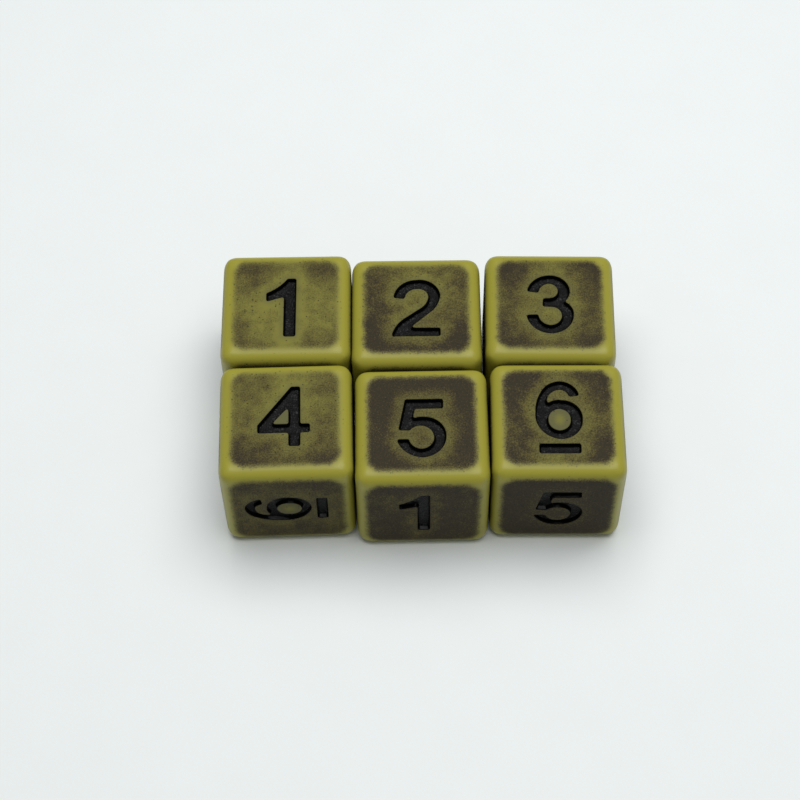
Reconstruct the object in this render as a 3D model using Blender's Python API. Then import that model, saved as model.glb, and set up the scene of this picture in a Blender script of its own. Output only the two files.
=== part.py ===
"""A set of six matching numeral dice, laid out in two rows of three.

Each die is a moulded resin cube with rounded edges, a numeral sunk into every face, and paint lying
in the bottom of each numeral. The six dice show 1 to 6 on their upper faces. Every die has the same
left-handed layout, in which opposite faces add up to seven.

Sizes are in millimetres and are turned into metres as each mesh is made. The set stands on Z = 0, and
its origin is below the middle of its bounding box. X runs along a row and the front row faces -Y.
"""

import math

import bmesh
import bpy
from mathutils import Matrix, Vector

MM = 0.001

# One die.
DIE_EDGE = 16.0
EDGE_RADIUS = 1.6
EDGE_SEGMENTS = 3
GROOVE_DEPTH = 0.7

# The numerals. Their outlines are drawn at a height of 8.6 for the one.
DRAWN_HEIGHT = 8.6
NUMERAL_HEIGHT = 8.6
CORNER_RADIUS = 0.3
ARC_STEP = math.radians(30.0)
SHARP_CORNER = math.radians(35.0)
CUTTER_RISE = 1.0

# Paint in the numerals, clear of the walls and of the floor.
PAINT_GAP = 0.1
PAINT_THICKNESS = 0.25

# The spaces left between the two rows and between neighbours in a row, before each die's own slip.
ROW_GAP = 0.45
COLUMN_GAP = 0.2


class Die:
    """One die of the set: the numeral it shows, the one in front, where it stands and how it turns."""

    def __init__(self, top, front, column, row, slip, turn, nudges):
        self.top = top
        self.front = front
        self.column = column
        self.row = row
        self.slip = slip
        self.turn = turn
        self.nudges = nudges

    def centre(self):
        """Return the middle of the die, with the front middle die as the origin of X and Y."""
        return Vector((self.column * (DIE_EDGE + COLUMN_GAP) + self.slip[0],
                       self.row * (DIE_EDGE + ROW_GAP) + self.slip[1],
                       DIE_EDGE / 2))

    def placement(self):
        """Return the matrix that takes the die from its own frame to its place in the set."""
        top = FACES[self.top].normal
        front = FACES[self.front].normal
        right = top.cross(front)
        lay = Matrix((right, -front, top)).to_4x4()
        turn = Matrix.Rotation(math.radians(self.turn), 4, 'Z')
        return Matrix.Translation(self.centre()) @ turn @ lay


class Face:
    """One face of a die: its outward normal, the way its numeral points, and the numeral's centre."""

    def __init__(self, normal, up, centre):
        self.normal = Vector(normal)
        self.up = Vector(up)
        self.centre = Vector(centre)

    def frame(self, nudge):
        """Return the matrix that takes a drawing in X and Y onto this face, with +Z outwards."""
        right = self.up.cross(self.normal)
        turn = Matrix((right, self.up, self.normal)).transposed().to_4x4()
        shift = Vector((self.centre.x + nudge[0], self.centre.y + nudge[1], DIE_EDGE / 2))
        return turn @ Matrix.Translation(shift)


FACES = {
    1: Face((0, 1, 0), (1, 0, 0), (-0.8, 0.0)),
    2: Face((-1, 0, 0), (0, 1, 0), (0.0, 0.1)),
    3: Face((0, 0, -1), (0, 1, 0), (0.0, 0.0)),
    4: Face((0, 0, 1), (0, 1, 0), (-0.2, 0.3)),
    5: Face((1, 0, 0), (0, -1, 0), (0.0, -0.4)),
    6: Face((0, -1, 0), (-1, 0, 0), (0.1, 0.0)),
}

# Each die: the numeral on top, the numeral in front, its column and row, how far it has slipped from
# the even grid, its turn, and how far single numerals sit from their usual place on the face.
DICE = (
    Die(1, 2, -1, 1, (-0.6, 0.55), 1.0, {1: (0.2, -0.4)}),
    Die(2, 6, 0, 1, (-0.7, 0.0), 0.8, {}),
    Die(3, 6, 1, 1, (-0.4, 0.65), -0.4, {}),
    Die(4, 6, -1, 0, (-0.05, 0.6), 2.0, {6: (0.0, 0.3)}),
    Die(5, 1, 0, 0, (0.0, 0.0), 1.2, {1: (-0.2, 0.2), 5: (0.0, -0.3)}),
    Die(6, 5, 1, 0, (0.05, 0.85), 0.2, {5: (0.2, 0.2)}),
)

# Outlines run counter-clockwise. Each point has X, Y and the rise of the arc from it to the next
# point: 0 is a straight line, plus swells out of the numeral and minus cuts into it.
OUTLINES = {
    "1": ((0.0, -4.8, 0), (1.5, -4.8, 0), (1.5, 3.8, 0), (0.42, 3.8, -0.23), (-2.2, 1.65, 0),
          (-2.2, 0.38, 0), (0.0, 1.1, 0)),
    "2": ((-2.95, -3.95, 0), (3.05, -3.95, 0), (3.05, -2.75, 0), (-0.7, -2.7, 0), (2.2, -0.1, 0.18),
          (3.1, 2.1, 0.8), (0.15, 4.4, 0.76), (-2.7, 1.75, 0), (-1.32, 1.58, -0.44),
          (0.2, 3.05, -0.4), (1.62, 1.9, -0.27), (0.5, 0.05, 0), (-1.5, -1.45, 0.26)),
    "3": ((-2.95, -1.7, 0.72), (-0.1, -4.4, 0.83), (2.85, -1.7, 0.36), (1.75, 0.3, 0.2),
          (2.45, 2.0, 0.72), (-0.2, 4.2, 0.62), (-2.85, 1.8, 0), (-1.42, 1.58, -0.38),
          (-0.1, 2.95, -0.31), (0.98, 1.9, -0.29), (0.0, 0.8, 0), (-0.88, 0.75, 0),
          (-0.95, -0.45, 0), (0.2, -0.5, -0.36), (1.4, -1.8, -0.43), (-0.1, -3.2, -0.38),
          (-1.5, -1.65, 0)),
    "4": ((0.65, -3.5, 0), (2.05, -3.5, 0), (2.05, -1.65, 0), (3.2, -1.65, 0), (3.2, -0.45, 0),
          (2.05, -0.45, 0), (2.05, 4.75, 0), (0.95, 4.75, 0), (-3.05, -0.55, 0),
          (-3.05, -1.65, 0), (0.65, -1.65, 0)),
    "5": ((-3.05, -2.05, 0.62), (-0.1, -4.55, 0.85), (2.85, -1.65, 0.78), (0.25, 1.0, 0.13),
          (-1.15, 0.7, 0), (-0.85, 2.15, 0), (2.55, 2.15, 0), (2.55, 3.48, 0), (-2.0, 3.48, 0),
          (-2.85, -0.8, 0), (-1.5, -0.85, -0.2), (-0.1, -0.2, -0.42), (1.4, -1.8, -0.44),
          (-0.1, -3.4, -0.36), (-1.6, -2.05, 0)),
    "6": ((-2.72, 0.4, 0.95), (0.1, -3.27, 0.84), (2.87, -0.55, 0.8), (0.4, 2.12, 0.22),
          (-1.28, 1.6, -0.6), (0.25, 3.56, -0.27), (1.33, 2.6, 0), (2.58, 2.75, 0.57),
          (0.2, 4.77, 0.3), (-1.87, 3.49, 0.24)),
    "underline": ((-2.4, -5.22, 0), (2.55, -5.22, 0), (2.55, -3.9, 0), (-2.4, -3.9, 0)),
}

# Islands run clockwise, so that the numeral lies on their left as it does on an outline's.
ISLANDS = {
    "4": ((0.65, -0.45, 0), (-1.4, -0.45, 0), (0.65, 1.95, 0)),
    "6": ((0.12, -2.1, -0.42), (-1.2, -0.6, -0.42), (0.12, 0.9, -0.42), (1.45, -0.6, -0.42)),
}

# What is sunk into each face: the drawings that it holds. Only the six has a bar under it.
DRAWINGS = {numeral: (str(numeral),) for numeral in range(1, 6)}
DRAWINGS[6] = ("6", "underline")


def arc(start, end, rise):
    """Return the points from start up to, but not including, end along an arc of that rise."""
    if rise == 0:
        return [start]
    chord = end - start
    half_turn = 2 * math.atan(2 * rise / chord.length)
    radius = chord.length / (2 * math.sin(half_turn))
    outwards = Vector((chord.y, -chord.x)).normalized()
    centre = (start + end) / 2 - outwards * radius * math.cos(half_turn)
    steps = max(2, math.ceil(abs(2 * half_turn) / ARC_STEP))
    spoke = start - centre
    return [centre + Matrix.Rotation(2 * half_turn * step / steps, 2) @ spoke for step in range(steps)]


def trace(outline):
    """Return an outline's points with its arcs drawn out and its sharp corners rounded."""
    corners = [Vector(point[:2]) for point in outline]
    rises = [point[2] for point in outline]
    points = []
    sharp = []
    for index, corner in enumerate(corners):
        run = arc(corner, corners[(index + 1) % len(corners)], rises[index])
        points += run
        sharp += [True] + [False] * (len(run) - 1)
    rounded = []
    for index, point in enumerate(points):
        before = points[index - 1]
        after = points[(index + 1) % len(points)]
        turn = (point - before).angle_signed(after - point)
        if sharp[index] and abs(turn) > SHARP_CORNER:
            rounded += fillet(before, point, after, turn)
        else:
            rounded.append(point)
    return rounded


def fillet(before, corner, after, turn):
    """Return the two ends of a small cut across a corner, which stands for its rounding."""
    back = before - corner
    ahead = after - corner
    reach = CORNER_RADIUS * math.tan(abs(turn) / 2)
    reach = min(reach, back.length * 0.45, ahead.length * 0.45)
    start = corner + back.normalized() * reach
    end = corner + ahead.normalized() * reach
    return [start, end]


def shrink(points, distance):
    """Return the closed path moved to its left by a distance."""
    moved = []
    for index, point in enumerate(points):
        back = (point - points[index - 1]).normalized()
        ahead = (points[(index + 1) % len(points)] - point).normalized()
        left = Vector((-back.y - ahead.y, back.x + ahead.x)).normalized()
        moved.append(point + left * distance / max(0.5, left.dot(Vector((-ahead.y, ahead.x)))))
    return moved


def drawing_paths(name):
    """Return the closed paths of one drawing at the set's numeral height."""
    scale = NUMERAL_HEIGHT / DRAWN_HEIGHT
    drawings = [OUTLINES[name]]
    if name in ISLANDS:
        drawings.append(ISLANDS[name])
    return [[point * scale for point in trace(drawing)] for drawing in drawings]


def drawing_centre(numeral):
    """Return the middle of the box around everything that a face holds."""
    points = [point for name in DRAWINGS[numeral] for point in drawing_paths(name)[0]]
    lowest = Vector((min(point.x for point in points), min(point.y for point in points)))
    highest = Vector((max(point.x for point in points), max(point.y for point in points)))
    return (lowest + highest) / 2


def add_prism(bm, paths, bottom, top, matrix):
    """Add a solid between two heights, with the first path as its outline and the rest as holes."""
    edges = []
    for path in paths:
        verts = [bm.verts.new((point.x, point.y, bottom)) for point in path]
        edges += [bm.edges.new((verts[index - 1], verts[index])) for index in range(len(verts))]
    filled = bmesh.ops.triangle_fill(bm, edges=edges, use_beauty=True)
    faces = [item for item in filled["geom"] if isinstance(item, bmesh.types.BMFace)]
    raised = bmesh.ops.extrude_face_region(bm, geom=faces, use_keep_orig=True)
    lifted = [item for item in raised["geom"] if isinstance(item, bmesh.types.BMVert)]
    bmesh.ops.translate(bm, verts=lifted, vec=(0, 0, top - bottom))
    solid = {vert for face in faces for vert in face.verts} | set(lifted)
    bmesh.ops.recalc_face_normals(bm, faces=list({face for vert in solid for face in vert.link_faces}))
    bmesh.ops.transform(bm, matrix=matrix, verts=list(solid))


def make_object(name, bm, material, matrix):
    """Turn a bmesh drawn in millimetres into a named object with its place in the set."""
    bmesh.ops.scale(bm, vec=(MM, MM, MM), verts=bm.verts)
    mesh = bpy.data.meshes.new(name)
    bm.to_mesh(mesh)
    bm.free()
    item = bpy.data.objects.new(name, mesh)
    if material:
        mesh.materials.append(material)
    location, rotation, _ = matrix.decompose()
    item.matrix_world = Matrix.Translation(location * MM) @ rotation.to_matrix().to_4x4()
    bpy.context.scene.collection.objects.link(item)
    return item


def make_material(name, colour, roughness):
    """Return a plain material."""
    material = bpy.data.materials.new(name)
    material.use_nodes = True
    shader = material.node_tree.nodes["Principled BSDF"]
    shader.inputs["Base Color"].default_value = (*colour, 1.0)
    shader.inputs["Roughness"].default_value = roughness
    shader.inputs["Metallic"].default_value = 0.0
    return material


def numeral_matrix(die, numeral):
    """Return the matrix that takes a numeral's drawing onto its face of a die."""
    frame = FACES[numeral].frame(die.nudges.get(numeral, (0.0, 0.0)))
    middle = drawing_centre(numeral)
    return frame @ Matrix.Translation((-middle.x, -middle.y, 0))


def make_body(die, matrix, material):
    """Make the resin body of a die: a cube with rounded edges and every numeral cut into it."""
    bm = bmesh.new()
    bmesh.ops.create_cube(bm, size=DIE_EDGE)
    bmesh.ops.bevel(bm, geom=bm.edges, offset=EDGE_RADIUS, segments=EDGE_SEGMENTS, profile=0.5,
                    affect='EDGES', clamp_overlap=True)
    body = make_object(f"die_{die.top}_body", bm, material, matrix)
    body.data.shade_smooth()
    body.data.set_sharp_from_angle(angle=math.radians(40.0))

    bm = bmesh.new()
    for numeral, names in DRAWINGS.items():
        for name in names:
            add_prism(bm, drawing_paths(name), -GROOVE_DEPTH, CUTTER_RISE, numeral_matrix(die, numeral))
    cutter = make_object(f"die_{die.top}_cutter", bm, None, matrix)
    cutter.hide_render = True
    cutter.display_type = 'WIRE'

    cut = body.modifiers.new("numerals", 'BOOLEAN')
    cut.operation = 'DIFFERENCE'
    cut.solver = 'EXACT'
    cut.object = cutter


def make_paint(die, matrix, material):
    """Make the paint in each numeral of a die, one solid to a sunk shape."""
    bottom = PAINT_GAP - GROOVE_DEPTH
    for numeral, names in DRAWINGS.items():
        for name in names:
            bm = bmesh.new()
            paths = [shrink(path, PAINT_GAP) for path in drawing_paths(name)]
            add_prism(bm, paths, bottom, bottom + PAINT_THICKNESS, numeral_matrix(die, numeral))
            suffix = f"{numeral}_underline" if name == "underline" else name
            make_object(f"die_{die.top}_paint_{suffix}", bm, material, matrix)


def half_extents(die):
    """Return how far a turned die reaches from its middle along X, Y and Z."""
    turn = math.radians(abs(die.turn))
    flat = DIE_EDGE / 2 - EDGE_RADIUS
    reach = flat * (math.cos(turn) + math.sin(turn)) + EDGE_RADIUS
    return Vector((reach, reach, DIE_EDGE / 2))


def set_middle():
    """Return the point on the ground below the middle of the box around the dice."""
    lowest = [min(die.centre()[axis] - half_extents(die)[axis] for die in DICE) for axis in range(2)]
    highest = [max(die.centre()[axis] + half_extents(die)[axis] for die in DICE) for axis in range(2)]
    return Vector(((lowest[0] + highest[0]) / 2, (lowest[1] + highest[1]) / 2, 0))


def main():
    """Clear the scene and make the six dice."""
    for item in list(bpy.data.objects):
        bpy.data.objects.remove(item, do_unlink=True)
    resin = make_material("resin", (0.36, 0.34, 0.06), 0.35)
    paint = make_material("paint", (0.006, 0.006, 0.007), 0.3)
    to_middle = Matrix.Translation(-set_middle())
    for die in DICE:
        matrix = to_middle @ die.placement()
        make_body(die, matrix, resin)
        make_paint(die, matrix, paint)


main()
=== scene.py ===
"""Looks for a set of six antiqued numeral dice, standing in two rows of three.

Each die gets a moulded resin body with softly rounded edges and sunk numerals, and the black paint
that lines each numeral. The resin carries a dark wash on its flats, worn clean at the edges and round
the numerals. Lengths here are in millimetres, and become metres as each mesh is finished.
"""

import logging
import math
from dataclasses import dataclass, field
from enum import Enum
from typing import Any, Optional, Sequence, Union

import bmesh
import bpy
import numpy as np
from mathutils import Euler, Matrix, Vector


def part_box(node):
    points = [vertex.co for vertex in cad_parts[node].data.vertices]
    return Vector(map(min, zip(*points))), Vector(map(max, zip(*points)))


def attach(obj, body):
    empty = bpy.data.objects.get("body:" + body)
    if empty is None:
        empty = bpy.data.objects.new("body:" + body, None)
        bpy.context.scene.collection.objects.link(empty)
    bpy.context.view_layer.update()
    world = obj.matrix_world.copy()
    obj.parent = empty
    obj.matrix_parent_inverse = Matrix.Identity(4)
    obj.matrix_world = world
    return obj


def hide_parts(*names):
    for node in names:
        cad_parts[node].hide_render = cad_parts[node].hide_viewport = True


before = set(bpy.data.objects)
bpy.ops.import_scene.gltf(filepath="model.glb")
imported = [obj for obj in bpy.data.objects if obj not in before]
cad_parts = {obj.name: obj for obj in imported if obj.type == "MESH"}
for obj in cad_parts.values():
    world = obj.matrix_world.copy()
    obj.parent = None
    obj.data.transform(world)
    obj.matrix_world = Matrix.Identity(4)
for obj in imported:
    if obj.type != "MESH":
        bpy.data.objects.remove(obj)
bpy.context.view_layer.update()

LOG = logging.getLogger("dice")

MM = 0.001
PER_MM = 1 / MM

# Millimetres: a point this far under a drawing's face isn't on it, and the farthest that a point off
# all numerals counts as lying from one.
FACE_REACH = 1.0
FAR = 9.0

Colour = tuple[float, float, float]
Value = Union["Wire", float, Sequence[float]]
Span = tuple[float, float]
Path = list[Vector]


class Slot(Enum):
    """The record's material slots."""

    RESIN = "resin"
    PAINT = "paint"


# ----------------------------------------------------------------------
# Materials
# ----------------------------------------------------------------------


class Wire:
    """An output in a material, on which Python's operators add Math nodes."""

    def __init__(self, shader: "Shader", socket: bpy.types.NodeSocket) -> None:
        """Keep the shader and one of its outputs."""
        self.shader = shader
        self.socket = socket

    def maths(self, operation: str, *values: Value) -> "Wire":
        """Add one Math node.

        Args:
            operation: The node's operation.
            values: What goes into its sockets, in order.

        Returns:
            The node's result.
        """
        return self.shader.node("Math", dict(enumerate(values)), operation=operation)

    def __add__(self, other: Value) -> "Wire":
        """Add."""
        return self.maths("ADD", self, other)

    def __radd__(self, other: Value) -> "Wire":
        """Add, with the number first."""
        return self.maths("ADD", other, self)

    def __sub__(self, other: Value) -> "Wire":
        """Subtract."""
        return self.maths("SUBTRACT", self, other)

    def __rsub__(self, other: Value) -> "Wire":
        """Subtract from a number."""
        return self.maths("SUBTRACT", other, self)

    def __mul__(self, other: Value) -> "Wire":
        """Multiply."""
        return self.maths("MULTIPLY", self, other)

    def __rmul__(self, other: Value) -> "Wire":
        """Multiply, with the number first."""
        return self.maths("MULTIPLY", other, self)

    def __pow__(self, other: Value) -> "Wire":
        """Raise to a power."""
        return self.maths("POWER", self, other)

    def __abs__(self) -> "Wire":
        """Drop the sign."""
        return self.maths("ABSOLUTE", self)

    def at_least(self, other: Value) -> "Wire":
        """Return the larger of the two."""
        return self.maths("MAXIMUM", self, other)

    def at_most(self, other: Value) -> "Wire":
        """Return the smaller of the two."""
        return self.maths("MINIMUM", self, other)

    def ramp(self, start: float, end: float) -> "Wire":
        """Ease from 0 to 1 between two values.

        Args:
            start: The value that gives 0, which may be the larger of the two.
            end: The value that gives 1.

        Returns:
            The eased result.
        """
        sockets = {"Value": self, "From Min": min(start, end), "From Max": max(start, end)}
        eased = self.shader.node("MapRange", sockets, interpolation_type="SMOOTHSTEP")
        return eased if start < end else 1 - eased


class Shader:
    """The node tree of one material."""

    def __init__(self, name: str) -> None:
        """Make a material with an empty tree.

        Args:
            name: Its name.
        """
        self.material = bpy.data.materials.new(name)
        self.material.use_nodes = True
        self.tree = self.material.node_tree
        self.tree.nodes.clear()

    def node(self, kind: str, sockets: dict, output: Union[int, str] = 0, **settings: Any) -> Wire:
        """Add one node.

        Args:
            kind: The node's type without its ShaderNode prefix.
            sockets: A value or a wire for each input, by name or number.
            output: The output to return.
            settings: The node's own settings, which are set before its sockets.

        Returns:
            The chosen output.
        """
        item = self.tree.nodes.new("ShaderNode" + kind)
        for key, value in settings.items():
            setattr(item, key, value)
        for key, value in sockets.items():
            if isinstance(value, Wire):
                self.tree.links.new(value.socket, item.inputs[key])
            else:
                item.inputs[key].default_value = value
        return Wire(self, item.outputs[output])

    def split(self, place: Wire) -> list[Wire]:
        """Return the three numbers that make up a vector."""
        return [self.node("SeparateXYZ", {0: place}, output=axis) for axis in range(3)]

    def mix(self, share: Value, first: Value, second: Value) -> Wire:
        """Mix two colours.

        Args:
            share: How much of the second colour there is, from 0 to 1.
            first: The first colour.
            second: The second colour.

        Returns:
            The colour between them.
        """
        colours = [value if isinstance(value, Wire) else (*value, 1.0) for value in (first, second)]
        return self.node("Mix", {0: share, 6: colours[0], 7: colours[1]}, output=2, data_type="RGBA")

    def noise(self, place: Wire, cells: float, detail: float, rough: float = 0.5) -> Wire:
        """Add a noise.

        Args:
            place: The place that it is read at.
            cells: How many cells it has to the millimetre.
            detail: How many finer layers it has.
            rough: How strong each finer layer is.

        Returns:
            The noise, which is about 0.5 on average.
        """
        sockets = {"Vector": place, "Scale": cells, "Detail": detail, "Roughness": rough}
        return self.node("TexNoise", sockets, noise_dimensions="3D", normalize=True)

    def attribute(self, name: str) -> Wire:
        """Return a number stored on the piece's points."""
        return self.node("Attribute", {}, output="Fac", attribute_name=name, attribute_type="GEOMETRY")

    def millimetres(self, centre: Vector, turn: float) -> Wire:
        """Read the place on the piece in a frame of its own.

        Args:
            centre: The frame's origin, in metres.
            turn: The frame's turn about Z.

        Returns:
            The place in that frame, in millimetres.
        """
        place = self.node("TexCoord", {}, output="Object")
        sockets = {"Vector": place, "Location": centre, "Rotation": (0.0, 0.0, turn), "Scale": (MM, MM, MM)}
        return self.node("Mapping", sockets, vector_type="TEXTURE")

    def bump(self, height: Wire, depth: float, strength: float, under: Optional[Wire] = None) -> Wire:
        """Raise the surface.

        Args:
            height: How high it is, from 0 to 1.
            depth: What a height of 1 stands for, in millimetres.
            strength: How much of the height counts.
            under: The normal that the new one is laid over.

        Returns:
            The new normal.
        """
        sockets = {"Height": height, "Strength": strength, "Distance": depth * MM}
        if under:
            sockets["Normal"] = under
        return self.node("Bump", sockets)

    def finish(self, sockets: dict) -> bpy.types.Material:
        """Give the material its surface.

        Args:
            sockets: A value or a wire for each of the surface's inputs.

        Returns:
            The finished material.
        """
        surface = self.node("BsdfPrincipled", sockets, output="BSDF")
        output = self.tree.nodes.new("ShaderNodeOutputMaterial")
        self.tree.links.new(surface.socket, output.inputs["Surface"])
        return self.material


@dataclass(frozen=True)
class Wash:
    """How the dark wash lies on one die.

    The top and front numbers are how dense it is there, lean is how much denser the top grows for
    each millimetre along X and Y, and seed shifts its pattern.
    """

    top: float
    front: float
    lean: tuple[float, float]
    seed: float


@dataclass(frozen=True)
class Spot:
    """What the resin's patterns are drawn from at each point of a die.

    The side is 1 on the upright faces and 0 on the top and bottom. Outside is how far the point lies
    outside the wash's rounded square, and away is how far it lies from a numeral's edge. Looped is 1
    inside a numeral's closed loop. The four noises run from the coarsest to the finest.
    """

    axes: list[Wire]
    drawn: Wire
    side: Wire
    outside: Wire
    away: Wire
    looped: Wire
    blotch: Wire
    patch: Wire
    grain: Wire
    fine: Wire


@dataclass(frozen=True)
class AntiquedResin:
    """Opaque yellow-olive resin with a dark, grainy wash on its flats.

    The wash is clean at the edges and thin round the numerals, and gathers in the corners of a face. A
    film of the numerals' paint stays inside their closed loops and close to the paint. Widths are in
    millimetres, and the noises are in cells to the millimetre.

    A span is the two values between which something comes on. The ring, flat, veil and speck spans are
    millimetres outside the wash's rounded square, and the halo and film spans are millimetres from a
    numeral.
    """

    name: str
    centre: Vector
    turn: float
    half_edge: float
    wash: Wash
    clean: Colour = (0.328, 0.304, 0.038)
    veiled: Colour = (0.198, 0.185, 0.037)
    glazed: Colour = (0.165, 0.136, 0.031)
    stain_dark: Colour = (0.010, 0.008, 0.004)
    stain_pale: Colour = (0.050, 0.039, 0.022)
    film: Colour = (0.062, 0.064, 0.048)
    speck: Colour = (0.014, 0.011, 0.008)
    rim_width: float = 1.2
    corner: float = 2.0
    side_span: Span = (-0.25, 0.25)
    side_reach: float = 0.3
    ring_span: Span = (-5.4, -1.8)
    flat_span: Span = (0.15, -1.05)
    veil_span: Span = (0.55, -0.85)
    halo_span: Span = (-0.2, 2.2)
    loop_film_span: Span = (1.6, 0.25)
    edge_film_span: Span = (0.9, 0.0)
    densest: float = 1.12
    thickest: float = 0.97
    grainy_share: float = 0.54
    blotch_cells: float = 0.3
    patch_cells: float = 1.1
    grain_cells: float = 5.5
    fine_cells: float = 10.0
    speck_cells: float = 2.1
    speck_pick: Span = (0.64, 0.7)
    speck_size: Span = (0.25, 0.12)
    speck_span: Span = (0.7, -0.6)
    speck_strength: float = 0.8

    def edge_distance(self, axes: list[Wire]) -> Wire:
        """Measure how far a point lies outside the wash's rounded square.

        Args:
            axes: The point's X, Y and Z from the die's middle.

        Returns:
            The distance, which is below 0 inside the square.
        """
        straight = self.half_edge - self.rim_width - self.corner
        reach = [(abs(axis) - straight).at_least(0) for axis in axes]
        total = reach[0] ** 2 + reach[1] ** 2 + reach[2] ** 2
        outward = reach[0].at_least(reach[1]).at_least(reach[2]) ** 2
        return (total - outward).at_least(0) ** 0.5 - self.corner

    def spot(self, shader: Shader) -> Spot:
        """Read what the patterns are drawn from.

        Args:
            shader: The material's shader.

        Returns:
            The spot.
        """
        place = shader.millimetres(self.centre, self.turn)
        axes = shader.split(place)
        shift = (self.wash.seed, self.wash.seed * 0.7, -self.wash.seed)
        drawn = shader.node("VectorMath", {0: place, 1: shift}, operation="ADD")
        side = (abs(axes[0]).at_least(abs(axes[1])) - abs(axes[2])).ramp(*self.side_span)
        return Spot(
            axes=axes,
            drawn=drawn,
            side=side,
            outside=self.edge_distance(axes) - side * self.side_reach,
            away=shader.attribute("numeral_distance"),
            looped=shader.attribute("in_loop").ramp(0.2, 0.8),
            blotch=shader.noise(drawn, self.blotch_cells, 3.0, 0.55),
            patch=shader.noise(drawn, self.patch_cells, 4.0, 0.6),
            grain=shader.noise(drawn, self.grain_cells, 1.0, 0.6),
            fine=shader.noise(drawn, self.fine_cells, 1.0, 0.6),
        )

    def density(self, spot: Spot) -> Wire:
        """Spread the wash over a face, dense in a ring round its middle and in its corners.

        Args:
            spot: What the pattern is drawn from.

        Returns:
            How dense the wash is before its grain, its edge and the numerals.
        """
        wash, side, axes = self.wash, spot.side, spot.axes
        level = wash.top + side * (wash.front - wash.top)
        lean = (axes[0] * wash.lean[0] + axes[1] * wash.lean[1]) * (1 - side)
        ring = spot.outside.ramp(*self.ring_span)
        middle = 0.07 + 0.1 * level + 0.42 * side
        nook = abs(axes[0] * axes[1] * axes[2]) * self.half_edge ** -3 - 0.2
        uneven = (spot.blotch - 0.5) * (1.3 - 0.3 * side) + (spot.patch - 0.5) * 0.6 + nook * (1 - side) * 0.9
        return level * (middle * (1 - ring) + ring) + lean + uneven * (0.25 + 0.75 * ring)

    def worn(self, spot: Spot) -> Wire:
        """Wear the wash off towards the edges, and wipe it round the numerals and in their loops.

        Args:
            spot: What the pattern is drawn from.

        Returns:
            How dense the wash is before its grain.
        """
        even = self.density(spot).at_least(0).at_most(self.densest)
        wobble = spot.patch - 0.5
        flat = (spot.outside + wobble * 0.9).ramp(*self.flat_span)
        halo = (spot.away + wobble).ramp(*self.halo_span)
        thin = 0.4 + 0.35 * spot.side
        return even * (thin + (1 - thin) * halo) * flat * (1 - spot.looped * 0.8)

    def specks(self, shader: Shader, spot: Spot) -> Wire:
        """Scatter a few small black specks.

        Args:
            shader: The material's shader.
            spot: What the pattern is drawn from.

        Returns:
            How black the speck is at the point, from 0 to 1.
        """
        sockets = {"Vector": spot.drawn, "Scale": self.speck_cells}
        distance = shader.node("TexVoronoi", sockets, output="Distance")
        choice = shader.node("TexVoronoi", sockets, output="Color")
        chosen = shader.split(choice)[0].ramp(*self.speck_pick)
        speck = distance.ramp(*self.speck_size) * chosen
        return speck * spot.outside.ramp(*self.speck_span) * self.speck_strength

    def colour(self, shader: Shader, spot: Spot, veil: Wire) -> Wire:
        """Colour the resin.

        Args:
            shader: The material's shader.
            spot: What the patterns are drawn from.
            veil: How far the flats are dulled, from 0 to 1.

        Returns:
            The colour.
        """
        density = self.worn(spot)
        speckled = density - (spot.grain - 0.5) * 2.4 - (spot.fine - 0.5) * 2.0
        grainy = speckled.at_least(0).at_most(1) * density.ramp(0.0, 0.25)
        cover = grainy * self.grainy_share + density * (1 - self.grainy_share)
        in_loops = spot.looped * spot.away.ramp(*self.loop_film_span) * 0.6
        filmed = in_loops.at_least(spot.away.ramp(*self.edge_film_span) * 0.3)
        base = shader.mix(veil, self.clean, self.veiled)
        base = shader.mix(density.ramp(0.0, 0.9), base, self.glazed)
        base = shader.mix(filmed, base, self.film)
        stain = shader.mix((spot.grain + spot.fine) * 0.5, self.stain_dark, self.stain_pale)
        colour = shader.mix(cover.at_most(self.thickest), base, stain)
        return shader.mix(self.specks(shader, spot), colour, self.speck)

    def build(self) -> bpy.types.Material:
        """Make the material.

        Returns:
            The finished material.
        """
        shader = Shader(self.name)
        spot = self.spot(shader)
        veil = spot.outside.ramp(*self.veil_span)
        normal = shader.bump(spot.fine, 0.02, 0.3)
        normal = shader.bump(shader.noise(spot.drawn, 0.5, 1.0), 0.05, 0.3, under=normal)
        return shader.finish({
            "Base Color": self.colour(shader, spot, veil),
            "Roughness": 0.46 + veil * 0.14 + (spot.fine - 0.5) * 0.15,
            "Normal": normal,
            "IOR": 1.5,
            "Specular IOR Level": 0.12,
            "Coat Weight": (1 - veil) * 0.4,
            "Coat Roughness": 0.3,
        })


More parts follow.
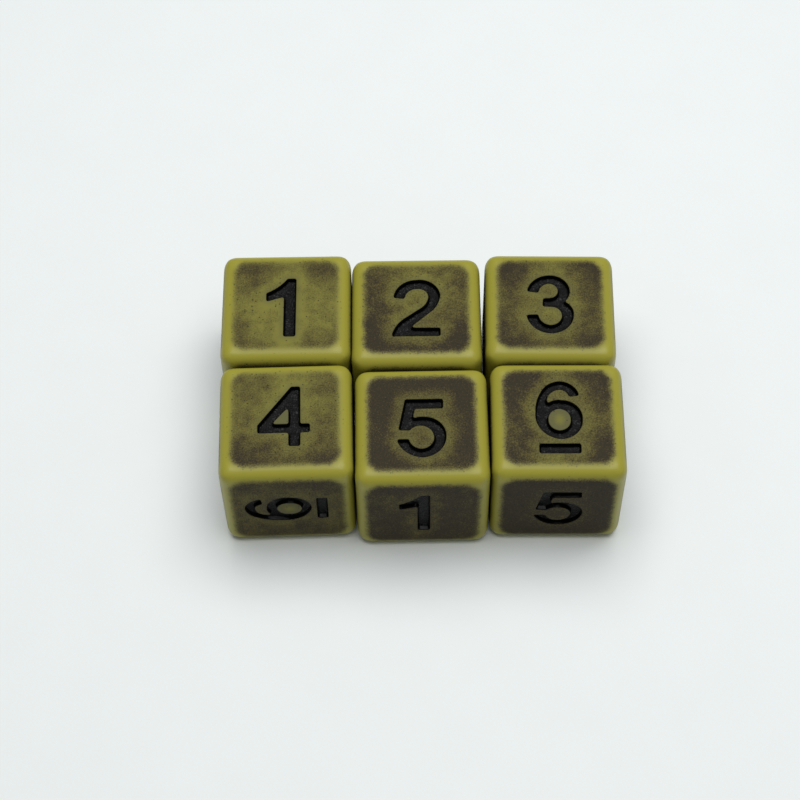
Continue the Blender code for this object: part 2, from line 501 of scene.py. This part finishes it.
@dataclass(frozen=True)
class BlackPaint:
    """Glossy black paint, smooth on the walls and coarse on the floor of a numeral. Its colour holds painted
    shade and painted glints: the walls are darkened past the paint's own black to stand for the shade in
    the groove, and the floor carries bright specks that stand in for light sparkling off the coarse paint.

    Its floor span is the two depths, in millimetres, between which it turns from the shaded wall colour to
    the floor colour. The glint span is the two heights of the noise between which a painted glint comes
    on. The noises are in cells to the millimetre.
    """

    name: str
    centre: Vector
    turn: float
    # The paint's black, darkened further as painted shade for the groove walls.
    wall: Colour = (0.0012, 0.0010, 0.0009)
    # Reached only where a painted glint comes on: a painted highlight for light sparkling off the coarse
    # paint.
    floor: Colour = (0.041, 0.041, 0.043)
    floor_span: Span = (0.5, 0.6)
    painted_glint_span: Span = (0.54, 0.72)
    coarse_cells: float = 4.8
    lump_cells: float = 1.4

    def build(self) -> bpy.types.Material:
        """Make the material.

        Returns:
            The finished material.
        """
        shader = Shader(self.name)
        place = shader.millimetres(self.centre, self.turn)
        # Below this depth the paint turns from the painted-shade wall colour to the floor colour.
        floor = shader.attribute("depth").ramp(*self.floor_span)
        coarse = shader.noise(place, self.coarse_cells, 3.0, 0.65)
        lumps = shader.noise(place, self.lump_cells, 1.0)
        # Painted glints: bright specks in the floor's colour that stand in for light sparkling off the coarse
        # paint.
        painted_glints = (coarse + (lumps - 0.5) * 0.4).ramp(*self.painted_glint_span)
        normal = shader.bump(coarse * (0.12 + 0.88 * floor), 0.12, 0.9)
        normal = shader.bump(lumps, 0.05, 0.4, under=normal)
        return shader.finish({
            # Base colour: the painted-shade black on the walls, and painted glints on the floor.
            "Base Color": shader.mix(floor * (0.06 + 0.94 * painted_glints), self.wall, self.floor),
            "Roughness": 0.2 + floor * (0.08 + 0.2 * coarse),
            "Normal": normal,
            "IOR": 1.5,
            "Specular IOR Level": 0.09,
        })


@dataclass(frozen=True)
class PaleGround:
    """The plain pale surface that the dice stand on, which is a trace uneven in tone."""

    name: str = "pale_ground"
    colour: Colour = (0.86, 0.90, 0.895)
    shade: float = 0.97
    wave_cells: float = 0.12

    def build(self) -> bpy.types.Material:
        """Make the material.

        Returns:
            The finished material.
        """
        shader = Shader(self.name)
        wave = shader.noise(shader.millimetres(Vector(), 0.0), self.wave_cells, 2.0)
        colour = shader.mix(wave, [part * self.shade for part in self.colour], self.colour)
        return shader.finish({"Base Color": colour, "Roughness": 0.75})


# ----------------------------------------------------------------------
# Numerals
# ----------------------------------------------------------------------


@dataclass(frozen=True)
class Drawing:
    """The outline of one sunk shape, as corners joined by lines and arcs.

    A corner is X, Y and the rise of the arc from it to the next corner: 0 is a line, plus swells out
    of the shape and minus cuts into it. The outline runs counter-clockwise and islands run clockwise.
    """

    outline: tuple
    islands: tuple = ()
    corner_radius: float = 0.3
    corner_steps: int = 4
    arc_step: float = math.radians(7.0)
    sharp: float = math.radians(35.0)

    def paths(self) -> list[Path]:
        """Return the outline and the islands as closed paths of points."""
        return [self.trace(corners) for corners in (self.outline, *self.islands)]

    def arc(self, start: Vector, end: Vector, rise: float) -> Path:
        """Draw an arc or a line.

        Args:
            start: Where it starts.
            end: Where it ends.
            rise: How far its middle swells out to the right of the way from start to end.

        Returns:
            Its points from the start up to, but not including, the end.
        """
        if rise == 0:
            return [start]
        chord = end - start
        half_turn = 2 * math.atan(2 * rise / chord.length)
        radius = chord.length / (2 * math.sin(half_turn))
        outwards = Vector((chord.y, -chord.x)).normalized()
        centre = (start + end) / 2 - outwards * radius * math.cos(half_turn)
        steps = max(2, math.ceil(abs(2 * half_turn) / self.arc_step))
        spoke = start - centre
        turns = [2 * half_turn * step / steps for step in range(steps)]
        return [centre + Matrix.Rotation(turn, 2) @ spoke for turn in turns]

    def trace(self, corners: tuple) -> Path:
        """Draw one closed path.

        Args:
            corners: Its corners.

        Returns:
            Its points, with the arcs drawn out and the sharp corners rounded.
        """
        runs = []
        for index, (x, y, rise) in enumerate(corners):
            ahead = Vector(corners[(index + 1) % len(corners)][:2])
            runs.append(self.arc(Vector((x, y)), ahead, rise) + [ahead])
        reaches = [self.reach(runs[index - 1], run) for index, run in enumerate(runs)]
        trimmed = []
        for index, run in enumerate(runs):
            shortened = trim(run, reaches[index])
            trimmed.append(trim(shortened[::-1], reaches[(index + 1) % len(runs)])[::-1])
        points: Path = []
        for index, run in enumerate(trimmed):
            if reaches[index]:
                points += self.corner(trimmed[index - 1][-1], runs[index][0], run[0])
            points += run[1 if reaches[index] else 0:-1]
        return points

    def reach(self, before: Path, after: Path) -> float:
        """Measure how far a rounded corner reaches along the runs that meet in it.

        Args:
            before: The run that ends in the corner.
            after: The run that starts there.

        Returns:
            The length, which is 0 where the corner isn't sharp and under half of either run.
        """
        turn = abs((before[-1] - before[-2]).angle_signed(after[1] - after[0]))
        wanted = self.corner_radius * math.tan(turn / 2) if turn > self.sharp else 0.0
        return min(wanted, *(0.45 * (run[-1] - run[0]).length for run in (before, after)))

    def corner(self, start: Vector, middle: Vector, end: Vector) -> Path:
        """Return the small curve that replaces the sharp corner at middle, with both of its ends."""
        shares = [step / self.corner_steps for step in range(self.corner_steps + 1)]
        return [start * (1 - s) ** 2 + middle * 2 * s * (1 - s) + end * s ** 2 for s in shares]


def trim(points: Path, length: float) -> Path:
    """Shorten an open path.

    Args:
        points: The path.
        length: How much of its beginning goes.

    Returns:
        What is left of it.
    """
    for index in range(len(points) - 1):
        step = points[index + 1] - points[index]
        if step.length > length:
            return [points[index] + step * (length / step.length)] + points[index + 1:]
        length -= step.length
    return points[-1:]


def offset(points: Path, distance: float) -> Path:
    """Move the sides of a closed path.

    Args:
        points: The path.
        distance: How far they move: plus is out of the shape, and minus is into it.

    Returns:
        The moved path, with as many points.
    """
    moved = []
    for index, point in enumerate(points):
        back = (point - points[index - 1]).normalized()
        ahead = (points[(index + 1) % len(points)] - point).normalized()
        side = Vector((back.y + ahead.y, -back.x - ahead.x)).normalized()
        spread = max(0.5, side.dot(Vector((ahead.y, -ahead.x))))
        moved.append(point + side * distance / spread)
    return moved


def enclosed(points: np.ndarray, path: Path) -> np.ndarray:
    """Find the points inside a closed path, by counting the sides to the right of each.

    Args:
        points: Rows of X and Y.
        path: The path.

    Returns:
        True for each row that lies inside.
    """
    starts = np.array([tuple(point) for point in path])
    ends = np.roll(starts, -1, axis=0)
    inside = np.zeros(len(points), bool)
    for start, end in zip(starts, ends):
        spans = (start[1] > points[:, 1]) != (end[1] > points[:, 1])
        rise = end[1] - start[1] if end[1] != start[1] else 1.0
        inside ^= spans & (points[:, 0] < start[0] + (points[:, 1] - start[1]) * (end[0] - start[0]) / rise)
    return inside


def side_gaps(points: np.ndarray, path: Path) -> np.ndarray:
    """Measure how far points lie from a closed path.

    Args:
        points: Rows of X and Y.
        path: The path.

    Returns:
        The distance from each row to the nearest side of the path.
    """
    starts = np.array([tuple(point) for point in path])
    runs = np.roll(starts, -1, axis=0) - starts
    away = points[:, None] - starts[None]
    share = np.clip((away * runs).sum(-1) / (runs * runs).sum(-1), 0, 1)
    return np.linalg.norm(away - share[..., None] * runs, axis=-1).min(axis=1)


DRAWINGS = {
    "1": Drawing(((0.0, -4.8, 0), (1.5, -4.8, 0), (1.5, 3.8, 0), (0.42, 3.8, -0.23), (-2.2, 1.65, 0),
                  (-2.2, 0.38, 0), (0.0, 1.1, 0))),
    "2": Drawing(((-2.95, -3.95, 0), (3.05, -3.95, 0), (3.05, -2.75, 0), (-0.7, -2.7, 0),
                  (2.2, -0.1, 0.18), (3.1, 2.1, 0.8), (0.15, 4.4, 0.76), (-2.7, 1.75, 0),
                  (-1.32, 1.58, -0.44), (0.2, 3.05, -0.4), (1.62, 1.9, -0.27), (0.5, 0.05, 0),
                  (-1.5, -1.45, 0.26))),
    "3": Drawing(((-2.95, -1.7, 0.72), (-0.1, -4.4, 0.83), (2.85, -1.7, 0.36), (1.75, 0.3, 0.2),
                  (2.45, 2.0, 0.72), (-0.2, 4.2, 0.62), (-2.85, 1.8, 0), (-1.42, 1.58, -0.38),
                  (-0.1, 2.95, -0.31), (0.98, 1.9, -0.29), (0.0, 0.8, 0), (-0.88, 0.75, 0),
                  (-0.95, -0.45, 0), (0.2, -0.5, -0.36), (1.4, -1.8, -0.43), (-0.1, -3.2, -0.38),
                  (-1.5, -1.65, 0))),
    "4": Drawing(((0.65, -3.5, 0), (2.05, -3.5, 0), (2.05, -1.65, 0), (3.2, -1.65, 0),
                  (3.2, -0.45, 0), (2.05, -0.45, 0), (2.05, 4.75, 0), (0.95, 4.75, 0),
                  (-3.05, -0.55, 0), (-3.05, -1.65, 0), (0.65, -1.65, 0)),
                 (((0.65, -0.45, 0), (-1.4, -0.45, 0), (0.65, 1.95, 0)),)),
    "5": Drawing(((-3.05, -2.05, 0.62), (-0.1, -4.55, 0.85), (2.85, -1.65, 0.78), (0.25, 1.0, 0.13),
                  (-1.15, 0.7, 0), (-0.85, 2.15, 0), (2.55, 2.15, 0), (2.55, 3.48, 0),
                  (-2.0, 3.48, 0), (-2.85, -0.8, 0), (-1.5, -0.85, -0.2), (-0.1, -0.2, -0.42),
                  (1.4, -1.8, -0.44), (-0.1, -3.4, -0.36), (-1.6, -2.05, 0))),
    "6": Drawing(((-2.72, 0.4, 0.95), (0.1, -3.27, 0.84), (2.87, -0.55, 0.8), (0.4, 2.12, 0.22),
                  (-1.28, 1.6, -0.6), (0.25, 3.56, -0.27), (1.33, 2.6, 0), (2.58, 2.75, 0.57),
                  (0.2, 4.77, 0.3), (-1.87, 3.49, 0.24)),
                 (((0.12, -2.1, -0.42), (-1.2, -0.6, -0.42), (0.12, 0.9, -0.42),
                   (1.45, -0.6, -0.42)),)),
    "6_underline": Drawing(((-2.4, -5.22, 0), (2.55, -5.22, 0), (2.55, -3.9, 0), (-2.4, -3.9, 0))),
}


# ----------------------------------------------------------------------
# Modelling helpers
# ----------------------------------------------------------------------


def choose(*pieces: bpy.types.Object) -> None:
    """Select a few pieces and nothing else.

    Args:
        pieces: The pieces, of which the first becomes the active one.
    """
    bpy.ops.object.select_all(action="DESELECT")
    for piece in pieces:
        piece.select_set(True)
    bpy.context.view_layer.objects.active = pieces[0]


def copy_of(piece: bpy.types.Object, name: str, matrix: Matrix) -> bpy.types.Object:
    """Copy a piece with a mesh of its own.

    Args:
        piece: The piece.
        name: The copy's name.
        matrix: How the copy's mesh is moved.

    Returns:
        The copy.
    """
    choose(piece)
    bpy.ops.object.duplicate(linked=False)
    copy = bpy.context.active_object
    copy.name = name
    copy.data.name = name
    copy.data.transform(matrix)
    return copy


def joined(pieces: list[bpy.types.Object]) -> bpy.types.Object:
    """Join pieces into one.

    Args:
        pieces: The pieces, of which the first takes in the others.

    Returns:
        The first piece.
    """
    choose(*pieces)
    if len(pieces) > 1:
        bpy.ops.object.join()
    return bpy.context.active_object


def stored(mesh: bpy.types.Mesh, name: str, values: np.ndarray) -> None:
    """Store a number for each point of a mesh, under a name that a material reads."""
    layer = mesh.attributes.new(name, "FLOAT", "POINT")
    layer.data.foreach_set("value", np.asarray(values, np.float32))


def coordinates(mesh: bpy.types.Mesh) -> np.ndarray:
    """Read a mesh's points.

    Args:
        mesh: The mesh.

    Returns:
        Rows of X, Y and Z.
    """
    values = np.empty(len(mesh.vertices) * 3, np.float32)
    mesh.vertices.foreach_get("co", values)
    return values.reshape(-1, 3).astype(float)


def moved_by(points: np.ndarray, matrix: Matrix) -> np.ndarray:
    """Return rows of X, Y and Z, moved by a matrix."""
    return points @ np.array(matrix.to_3x3()).T + np.array(matrix.translation)


def dressed(piece: bpy.types.Object, material: bpy.types.Material) -> None:
    """Give a piece its only material."""
    piece.data.materials.clear()
    piece.data.materials.append(material)


@dataclass(frozen=True)
class Ring:
    """One level of a shape that is drawn up through rings: how far out of the outline, and how high."""

    out: float
    height: float


def drawn_through(name: str, drawing: Drawing, rings: Sequence[Ring]) -> bpy.types.Object:
    """Model a closed shape whose walls follow a drawing at every ring and whose ends are filled.

    Args:
        name: The new object's name.
        drawing: The shape's outline and islands.
        rings: Its levels, from the first end to the last.

    Returns:
        The new object, in millimetres.
    """
    loops = [[offset(path, ring.out) for path in drawing.paths()] for ring in rings]
    levels = [[(*point, ring.height) for path in loop for point in path] for loop, ring in zip(loops, rings)]
    starts = []
    for path in loops[0]:
        bpy.ops.mesh.primitive_circle_add(vertices=len(path), radius=1.0, fill_type="NOTHING")
        starts.append(bpy.context.active_object)
    shape = joined(starts)
    shape.name = name
    shape.data.name = name
    shape.data.vertices.foreach_set("co", np.array(levels[0]).ravel())
    bpy.ops.object.mode_set(mode="EDIT")
    bpy.ops.mesh.select_all(action="SELECT")
    bpy.ops.mesh.fill(use_beauty=True)
    for before, points in enumerate(levels[1:]):
        select_level(shape, len(points), before)
        bpy.ops.mesh.extrude_edges_move()
        place_level(shape, points)
    select_level(shape, len(levels[0]), len(levels) - 1)
    bpy.ops.mesh.fill(use_beauty=True)
    bpy.ops.mesh.select_all(action="SELECT")
    bpy.ops.mesh.normals_make_consistent(inside=False)
    bpy.ops.object.mode_set(mode="OBJECT")
    return shape


def select_level(shape: bpy.types.Object, size: int, level: int) -> None:
    """Select the edges along one ring of a shape in edit mode, and nothing else.

    Args:
        shape: The shape.
        size: How many points each ring has.
        level: The ring's number, from 0.
    """
    mesh = bmesh.from_edit_mesh(shape.data)
    mesh.verts.ensure_lookup_table()
    wanted = {vert for vert in mesh.verts if vert.index // size == level}
    mesh.select_mode = {"EDGE"}
    rim = [edge for edge in mesh.edges if wanted.issuperset(edge.verts) and len(edge.link_faces) < 2]
    for edge in mesh.edges:
        edge.select_set(False)
    for edge in rim:
        edge.select_set(True)
    bmesh.update_edit_mesh(shape.data)


def place_level(shape: bpy.types.Object, points: Sequence[tuple]) -> None:
    """Move the newest ring of a shape in edit mode, and number its points as its places are.

    A new ring's points come in any order, each still where the ring before it has that point.

    Args:
        shape: The shape.
        points: A place for each point of the ring.
    """
    mesh = bmesh.from_edit_mesh(shape.data)
    mesh.verts.ensure_lookup_table()
    size = len(points)
    count = len(mesh.verts)
    older = {tuple(mesh.verts[index].co): index % size for index in range(count - 2 * size, count - size)}
    newest = [mesh.verts[index] for index in range(count - size, count)]
    order = [older[tuple(vert.co)] for vert in newest]
    for vert, index in zip(newest, order):
        vert.co = points[index]
        vert.index = count - size + index
    mesh.verts.sort()
    bmesh.update_edit_mesh(shape.data)


# ----------------------------------------------------------------------
# Dice
# ----------------------------------------------------------------------


@dataclass
class Numerals:
    """The sunk shapes that every die shares, each with its cutter and its lining of paint.

    The wall leans in by draft from its rounded rim to its foot. The cutter leaves the face at an angle,
    by flare, and runs on to a height above it. The paint stays paint_gap off the resin.
    """

    depth: float = 0.70
    rim: float = 0.09
    rim_steps: int = 3
    rim_turn: float = math.radians(72.0)
    flare: float = 0.05
    above: float = 0.5
    draft: float = 0.14
    foot: float = 0.08
    paint_gap: float = 0.006
    paint_wall: float = 0.04
    floor_paint: float = 0.06
    cutters: dict[str, bpy.types.Object] = field(default_factory=dict)
    linings: dict[str, bpy.types.Object] = field(default_factory=dict)

    def wall_rings(self) -> list[Ring]:
        """Work out the sunk wall from the floor up to where its rounded rim begins.

        Returns:
            The rings of the wall.
        """
        return [
            Ring(-self.draft - self.foot, -self.depth),
            Ring(-self.draft - self.foot * 0.3, -self.depth + self.foot * 0.3),
            Ring(-self.draft, -self.depth + self.foot),
            Ring(-self.draft * 0.5, -self.depth * 0.55),
            Ring(0.0, -self.rim),
        ]

    def cutter_rings(self) -> list[Ring]:
        """Work out the cutter: the wall, the rounded rim and the part above the face.

        Returns:
            The rings of the cutter.
        """
        turns = [self.rim_turn * step / self.rim_steps for step in range(1, self.rim_steps + 1)]
        rim = [Ring(self.rim * (1 - math.cos(turn)), self.rim * (math.sin(turn) - 1)) for turn in turns]
        flared = rim[-1].out + self.flare
        leaving = Ring(flared, rim[-1].height + self.flare / math.tan(self.rim_turn))
        return [*self.wall_rings(), *rim, leaving, Ring(flared, self.above)]

    def lining_rings(self) -> list[Ring]:
        """Work out the paint: up the outside of the lining, over its lip and down inside.

        Returns:
            The rings of the lining.
        """
        outer = [Ring(ring.out - self.paint_gap, ring.height + self.paint_gap) for ring in self.wall_rings()]
        floor = -self.depth + self.floor_paint
        foot = -self.draft - self.paint_wall
        return [
            *outer,
            Ring(0.002, -self.rim * 0.55),
            Ring(-self.paint_wall * 0.55, -self.rim * 0.75),
            Ring(-self.paint_wall, -self.rim * 1.6),
            Ring(-self.draft * 0.5 - self.paint_wall, -self.depth * 0.5),
            Ring(foot, floor + 0.09),
            Ring(foot - 0.025, floor + 0.03),
            Ring(foot - 0.08, floor),
        ]

    def build(self) -> None:
        """Model the cutter and the lining of each drawing once, for every die to copy."""
        for name, drawing in DRAWINGS.items():
            self.cutters[name] = drawn_through(f"cutter_{name}", drawing, self.cutter_rings())
            lining = drawn_through(f"lining_{name}", drawing, self.lining_rings())
            stored(lining.data, "depth", -coordinates(lining.data)[:, 2])
            self.linings[name] = lining
            LOG.info("numeral %s: lining of %d faces", name, len(lining.data.polygons))

    def clear(self) -> None:
        """Remove the shapes that the dice were copied from."""
        for shape in [*self.cutters.values(), *self.linings.values()]:
            bpy.data.objects.remove(shape, do_unlink=True)


@dataclass
class Die:
    """One die: where the CAD says it stands, its resin body and the paint in its numerals.

    Cells is how many small squares run along the straight part of an edge, and soften is how often the
    rounded edges are smoothed into the flats. Body and paint angle are the sharpest bends that are
    shaded smooth, and flat weight is how strongly the flats pull the shading. Two lengths within the
    slack count as one.
    """

    number: int
    wash: Wash
    edge_radius: float = 1.6
    edge_segments: int = 8
    cells: int = 40
    soften: int = 3
    body_angle: float = math.radians(32.0)
    paint_angle: float = math.radians(40.0)
    flat_weight: int = 60
    slack: float = 0.01
    centre: Vector = field(init=False)
    turn: float = field(init=False)
    edge: float = field(init=False)

    def __post_init__(self) -> None:
        """Read the die's place, turn and size from its CAD body."""
        low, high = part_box(self.body_node)
        self.centre = (low + high) / 2
        self.edge = (high.z - low.z) * PER_MM
        self.turn = self.read_turn()

    @property
    def name(self) -> str:
        """Return the name that the die's pieces begin with, which is its CAD body's too."""
        return f"die_{self.number}"

    @property
    def body_node(self) -> str:
        """Return the CAD node of the resin body."""
        return f"{self.name}_body"

    def read_turn(self) -> float:
        """Read the die's turn from the way that its CAD body's right face looks.

        Returns:
            The turn about Z.
        """
        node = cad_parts[self.body_node]
        half = self.edge * MM / 2
        for face in node.data.polygons:
            corner = node.matrix_world @ node.data.vertices[face.vertices[0]].co
            normal = (node.matrix_world.to_3x3() @ face.normal).normalized()
            on_side = abs((corner - self.centre).dot(normal) - half) < self.slack * MM
            if on_side and normal.x > 0.9:
                return math.atan2(normal.y, normal.x)
        raise ValueError(f"{self.body_node} has no face that looks along X")

    def stand(self) -> Matrix:
        """Return the matrix from the die's own frame, in millimetres, to its place in metres."""
        return Matrix.Translation(self.centre) @ Matrix.Rotation(self.turn, 4, "Z") @ Matrix.Scale(MM, 4)

    def paint_nodes(self) -> dict[str, str]:
        """Return the CAD node of the paint in each drawing."""
        return {name: f"{self.name}_paint_{name}" for name in DRAWINGS}

    def face_frame(self, node: str, drawing: Drawing) -> Matrix:
        """Find the face where the CAD has the paint of a drawing, and how the drawing lies on it.

        Args:
            node: The CAD node of the paint.
            drawing: The drawing.

        Returns:
            The matrix from the drawing onto the die in its own frame, with +Z out of the face.
        """
        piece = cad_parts[node]
        local = self.stand().inverted() @ piece.matrix_world
        points = np.array([local @ vertex.co for vertex in piece.data.vertices])
        middle = (points.min(axis=0) + points.max(axis=0)) / 2
        axis = int(np.argmax(np.abs(middle)))
        normal = Vector([math.copysign(1.0, middle[axis]) if index == axis else 0.0 for index in range(3)])
        on_face = Vector([0.0 if index == axis else middle[index] for index in range(3)])
        to_face = Matrix.Translation(normal * (self.edge / 2) + on_face)
        shape = np.array([(*point, 0.0) for path in drawing.paths() for point in path])
        shape_middle = Vector((shape.min(axis=0) + shape.max(axis=0)) / 2)
        points[:, axis] = 0
        best, best_error = Matrix(), math.inf
        for quarter in range(4):
            up = Vector([1.0 if index == (axis + 1) % 3 else 0.0 for index in range(3)])
            up = Matrix.Rotation(quarter * math.pi / 2, 3, normal) @ up
            turn = Matrix((up.cross(normal), up, normal)).transposed().to_4x4()
            matrix = to_face @ turn @ Matrix.Translation(-shape_middle)
            placed = moved_by(shape, matrix)
            placed[:, axis] = 0
            error = np.linalg.norm(points[:, None] - placed[None], axis=2).min(axis=1).max()
            if error < best_error:
                best, best_error = matrix, error
        return best

    def frames(self) -> dict[str, Matrix]:
        """Return the matrix that puts each drawing on the die."""
        return {name: self.face_frame(node, DRAWINGS[name]) for name, node in self.paint_nodes().items()}

    def blank(self) -> bpy.types.Object:
        """Model the die before its numerals are cut: a cube with rounded edges in small cells.

        Returns:
            The body, in millimetres.
        """
        bpy.ops.mesh.primitive_cube_add(size=self.edge)
        body = bpy.context.active_object
        body.name = f"{self.name}_resin"
        body.data.name = body.name
        bpy.ops.object.mode_set(mode="EDIT")
        bpy.ops.mesh.select_all(action="SELECT")
        bpy.ops.mesh.bevel(offset=self.edge_radius, segments=self.edge_segments, profile=0.5, affect="EDGES")
        mesh = bmesh.from_edit_mesh(body.data)
        straight = self.edge - 2 * self.edge_radius
        for edge in mesh.edges:
            edge.select_set(abs(edge.calc_length() - straight) < self.slack)
        bmesh.update_edit_mesh(body.data)
        bpy.ops.mesh.subdivide(number_cuts=self.cells - 1)
        bpy.ops.mesh.select_all(action="SELECT")
        bpy.ops.mesh.vertices_smooth(factor=0.5, repeat=self.soften)
        bpy.ops.object.mode_set(mode="OBJECT")
        return body

    def cut_numerals(self, body: bpy.types.Object, numerals: Numerals, frames: dict[str, Matrix]) -> None:
        """Cut every numeral into the body.

        Args:
            body: The body.
            numerals: The cutters.
            frames: How each drawing lies on the die.
        """
        cutters = [copy_of(numerals.cutters[name], f"cut_{name}", matrix) for name, matrix in frames.items()]
        cutter = joined(cutters)
        choose(body)
        cut = body.modifiers.new("numerals", "BOOLEAN")
        cut.operation = "DIFFERENCE"
        cut.solver = "EXACT"
        cut.object = cutter
        bpy.ops.object.modifier_apply(modifier=cut.name)
        bpy.data.objects.remove(cutter, do_unlink=True)

    def mark_numerals(self, body: bpy.types.Object, frames: dict[str, Matrix]) -> None:
        """Store how far the body's points lie from a numeral, and which lie in a closed loop.

        Args:
            body: The body.
            frames: How each drawing lies on the die.
        """
        points = coordinates(body.data)
        nearest = np.full(len(points), FAR)
        looped = np.zeros(len(points), bool)
        for name, matrix in frames.items():
            placed = moved_by(points, matrix.inverted())
            on_face = placed[:, 2] > -FACE_REACH
            paths = DRAWINGS[name].paths()
            for path in paths:
                nearest[on_face] = np.minimum(nearest[on_face], side_gaps(placed[on_face, :2], path))
            for island in paths[1:]:
                looped |= on_face & enclosed(placed[:, :2], island)
        stored(body.data, "numeral_distance", nearest)
        stored(body.data, "in_loop", looped.astype(float))

    def build_body(self, numerals: Numerals, frames: dict[str, Matrix]) -> None:
        """Model and dress the resin body, and let it ride on the die.

        Args:
            numerals: The cutters.
            frames: How each drawing lies on the die.
        """
        body = self.blank()
        self.cut_numerals(body, numerals, frames)
        self.mark_numerals(body, frames)
        choose(body)
        bpy.ops.object.shade_smooth_by_angle(angle=self.body_angle)
        weigh = body.modifiers.new("weigh", "WEIGHTED_NORMAL")
        weigh.keep_sharp = True
        weigh.weight = self.flat_weight
        bpy.ops.object.modifier_apply(modifier=weigh.name)
        body.data.transform(self.stand())
        resin = AntiquedResin(f"{self.name}_antiqued_resin", self.centre, self.turn, self.edge / 2, self.wash)
        dressed(body, resin.build())
        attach(body, self.name)
        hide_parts(self.body_node)
        LOG.info("%s: %d faces", body.name, len(body.data.polygons))

    def build_paint(self, numerals: Numerals, frames: dict[str, Matrix]) -> None:
        """Lay the paint in each numeral, and let it ride on the die.

        Args:
            numerals: The linings.
            frames: How each drawing lies on the die.
        """
        black = BlackPaint(f"{self.name}_black_paint", self.centre, self.turn).build()
        for name, node in self.paint_nodes().items():
            place = self.stand() @ frames[name]
            lining = copy_of(numerals.linings[name], f"{self.name}_lining_{name}", place)
            choose(lining)
            bpy.ops.object.shade_smooth_by_angle(angle=self.paint_angle)
            dressed(lining, black)
            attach(lining, self.name)
            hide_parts(node)
            LOG.info("%s: %d faces", lining.name, len(lining.data.polygons))

    def build(self, numerals: Numerals) -> None:
        """Build the whole die.

        Args:
            numerals: The sunk shapes that all dice share.
        """
        frames = self.frames()
        self.build_body(numerals, frames)
        self.build_paint(numerals, frames)
        LOG.info("%s: turned %.2f degrees", self.name, math.degrees(self.turn))


# ----------------------------------------------------------------------
# Studio
# ----------------------------------------------------------------------


@dataclass
class Studio:
    """The ground, the lights and the camera round the dice, in millimetres, watts and degrees."""

    ground_size: float = 1400.0
    light_place: tuple[float, float, float] = (28.0, 60.0, 430.0)
    light_size: float = 400.0
    light_power: float = 2.03
    glow: Colour = (0.97, 0.99, 1.0)
    glow_strength: float = 0.175
    lens: float = 90.0
    sensor: float = 36.0
    camera_place: tuple[float, float, float] = (0.93, -130.92, 219.82)
    camera_turn: tuple[float, float, float] = (31.642, 0.631, 0.439)

    def build_ground(self) -> None:
        """Lay the ground."""
        bpy.ops.mesh.primitive_plane_add(size=self.ground_size * MM)
        ground = bpy.context.active_object
        ground.name = "ground"
        dressed(ground, PaleGround().build())
        LOG.info("ground: %d face", len(ground.data.polygons))

    def build_lights(self) -> None:
        """Hang a large soft light over the dice and fill the room with a pale glow."""
        light = bpy.data.lights.new("overhead", "AREA")
        light.shape = "SQUARE"
        light.size = self.light_size * MM
        light.energy = self.light_power
        lamp = bpy.data.objects.new("overhead", light)
        bpy.context.scene.collection.objects.link(lamp)
        lamp.location = Vector(self.light_place) * MM
        lamp.rotation_euler = (-Vector(self.light_place)).to_track_quat("-Z", "Y").to_euler()
        room = bpy.data.worlds.new("pale_room")
        room.use_nodes = True
        background = room.node_tree.nodes["Background"]
        background.inputs["Color"].default_value = (*self.glow, 1.0)
        background.inputs["Strength"].default_value = self.glow_strength
        bpy.context.scene.world = room

    def build_camera(self) -> None:
        """Place the camera, which looks down on the dice from the front."""
        camera = bpy.data.cameras.new("camera")
        camera.lens = self.lens
        camera.sensor_width = self.sensor
        camera.clip_start = 10.0 * MM
        eye = bpy.data.objects.new("camera", camera)
        eye.location = Vector(self.camera_place) * MM
        eye.rotation_euler = Euler([math.radians(angle) for angle in self.camera_turn])
        bpy.context.scene.collection.objects.link(eye)
        bpy.context.scene.camera = eye

    def build(self) -> None:
        """Build the whole studio."""
        self.build_ground()
        self.build_lights()
        self.build_camera()


def main() -> None:
    """Build the dice and the studio."""
    logging.basicConfig(level=logging.INFO, format="%(message)s")
    bpy.context.scene.view_settings.view_transform = "Standard"
    numerals = Numerals()
    numerals.build()
    dice = [
        Die(1, Wash(0.44, 0.7, (0.0, 0.012), 3.1)),
        Die(2, Wash(0.84, 0.8, (-0.006, -0.05), 17.4)),
        Die(3, Wash(0.78, 0.8, (-0.005, 0.0), 31.8)),
        Die(4, Wash(0.55, 0.8, (-0.005, -0.037), 64.9)),
        Die(5, Wash(1.1, 1.0, (-0.01, 0.01), 58.9)),
        Die(6, Wash(0.88, 1.25, (0.0, 0.01), 72.3)),
    ]
    for die in dice:
        die.build(numerals)
    numerals.clear()
    Studio().build()


if __name__ == "__main__":
    main()
